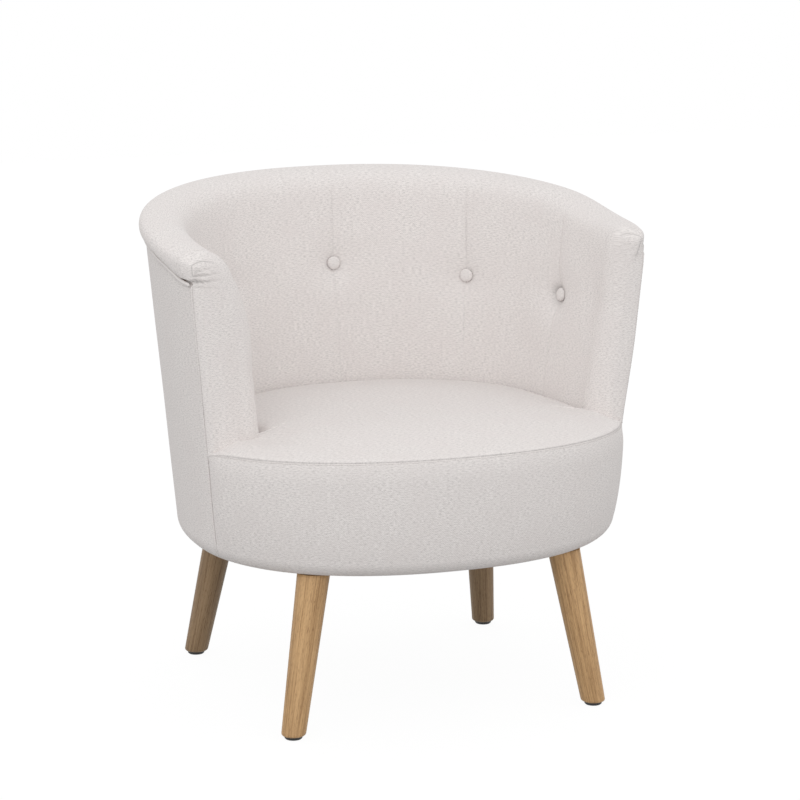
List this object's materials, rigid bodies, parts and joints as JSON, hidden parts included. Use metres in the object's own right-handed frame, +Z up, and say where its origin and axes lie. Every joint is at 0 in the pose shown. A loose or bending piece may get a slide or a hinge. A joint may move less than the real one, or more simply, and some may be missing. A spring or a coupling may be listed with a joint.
{
  "type": "barrel chair",
  "caption": "Low fabric-covered barrel chair: a flared tub whose back and arms sweep round in one rolled rim, button-tufted inside, with a crowned fixed seat and splayed round wooden legs.",
  "frame": {"origin": "on the floor, under the middle of the chair's bounding box", "axes": "+Z up, the sitter faces -Y, +X towards the arm on the right of the picture"},
  "size_m": [0.722, 0.6342, 0.7237],
  "materials": {
    "cover_fabric": "matte",
    "dust_cloth": "matte",
    "twine": "matte",
    "padding": "matte",
    "hardboard": "matte",
    "plywood": "matte",
    "frame_wood": "matte",
    "webbing": "matte",
    "leg_wood": "satin",
    "glide": "matte",
    "steel": "satin"
  },
  "bodies": {
    "root": {"outside_cover": "cover_fabric", "inside_back_cover": "cover_fabric", "arm_facing_left": "cover_fabric", "arm_facing_right": "cover_fabric", "seat_cover": "cover_fabric", "seat_front_band": "cover_fabric", "dust_cover": "dust_cloth", "back_button_centre": "cover_fabric", "back_button_left": "cover_fabric", "back_button_right": "cover_fabric", "back_button_far_left": "cover_fabric", "back_button_far_right": "cover_fabric", "button_twines": "twine", "twine_toggles": "frame_wood", "back_foam": "padding", "seat_foam": "padding", "inner_back_board": "hardboard", "outer_back_board": "hardboard", "front_board": "hardboard", "top_rail": "plywood", "back_post_centre": "frame_wood", "back_post_left": "frame_wood", "back_post_right": "frame_wood", "arm_post_left": "frame_wood", "arm_post_right": "frame_wood", "seat_ring": "plywood", "base_ring_upper": "plywood", "base_ring_lower": "plywood", "spacer_blocks": "frame_wood", "webbing_lengthwise": "webbing", "webbing_crosswise": "webbing", "leg_front_left": "leg_wood", "leg_front_right": "leg_wood", "leg_rear_left": "leg_wood", "leg_rear_right": "leg_wood", "glide_front_left": "glide", "glide_front_right": "glide", "glide_rear_left": "glide", "glide_rear_right": "glide", "glide_nails": "steel", "hanger_bolts": "steel", "tee_nuts": "steel", "post_screws": "steel", "ring_screws": "steel"}
  },
  "joints": []
}
